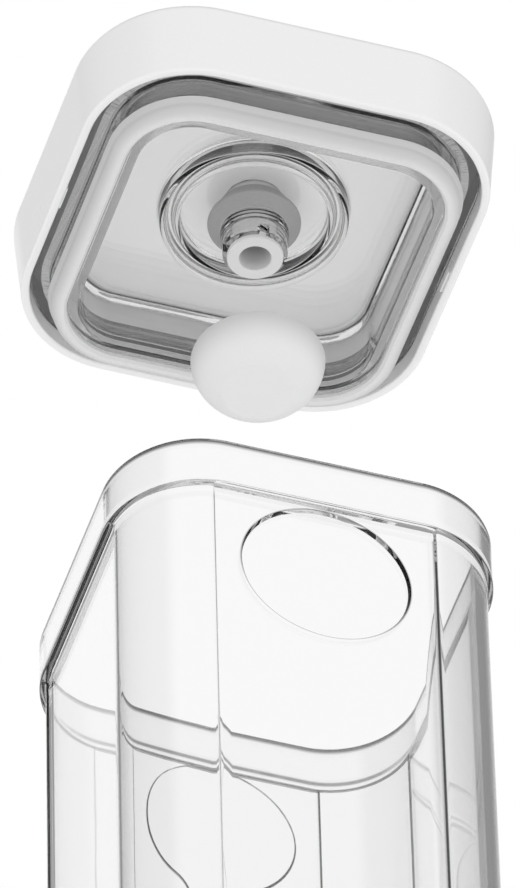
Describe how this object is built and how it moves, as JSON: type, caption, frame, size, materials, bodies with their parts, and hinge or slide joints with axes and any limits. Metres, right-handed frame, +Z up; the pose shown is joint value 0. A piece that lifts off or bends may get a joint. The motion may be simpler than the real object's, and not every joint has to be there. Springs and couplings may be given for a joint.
{
  "type": "vacuum seal canister",
  "caption": "Clear square food canister with a sunk disc in its front, a white vacuum lid lifted off it, a silicone seal, a one-way air valve and a round splash cap pulled off the nozzle.",
  "frame": {"origin": "middle of the box's base, on the surface it stands on", "axes": "+Z up along the box, the lid and the valve; -Y to the front, the side with the plain sunk disc"},
  "size_m": [0.1114, 0.1114, 0.345],
  "materials": {
    "clear_box": "polished clear copolyester",
    "clear_plate": "polished clear copolyester",
    "white_plastic": "glossy white moulded plastic",
    "seal_silicone": "cloudy translucent silicone",
    "washer_silicone": "grey silicone",
    "white_silicone": "matte white silicone"
  },
  "bodies": {
    "canister": {"canister_body": "clear_box"},
    "lid": {"lid_cover": "white_plastic", "inner_plate": "clear_plate", "lid_seal": "seal_silicone", "valve_housing": "clear_plate", "housing_washer": "washer_silicone", "valve_stem": "white_silicone"},
    "valve": {"valve_poppet": "white_silicone", "valve_knob": "white_plastic"},
    "cap": {"splash_cap": "white_silicone"}
  },
  "joints": [
    {"name": "lid_lift", "type": "slide", "parent": "canister", "child": "lid", "axis": [0, 0, 1], "range_m": [-0.1354, 0]},
    {"name": "valve_lift", "type": "slide", "parent": "lid", "child": "valve", "axis": [0, 0, 1], "range_m": [0, 0.0024]},
    {"name": "cap_pull", "type": "slide", "parent": "lid", "child": "cap", "axis": [0, 0, 1], "range_m": [0, 0.0479]}
  ]
}
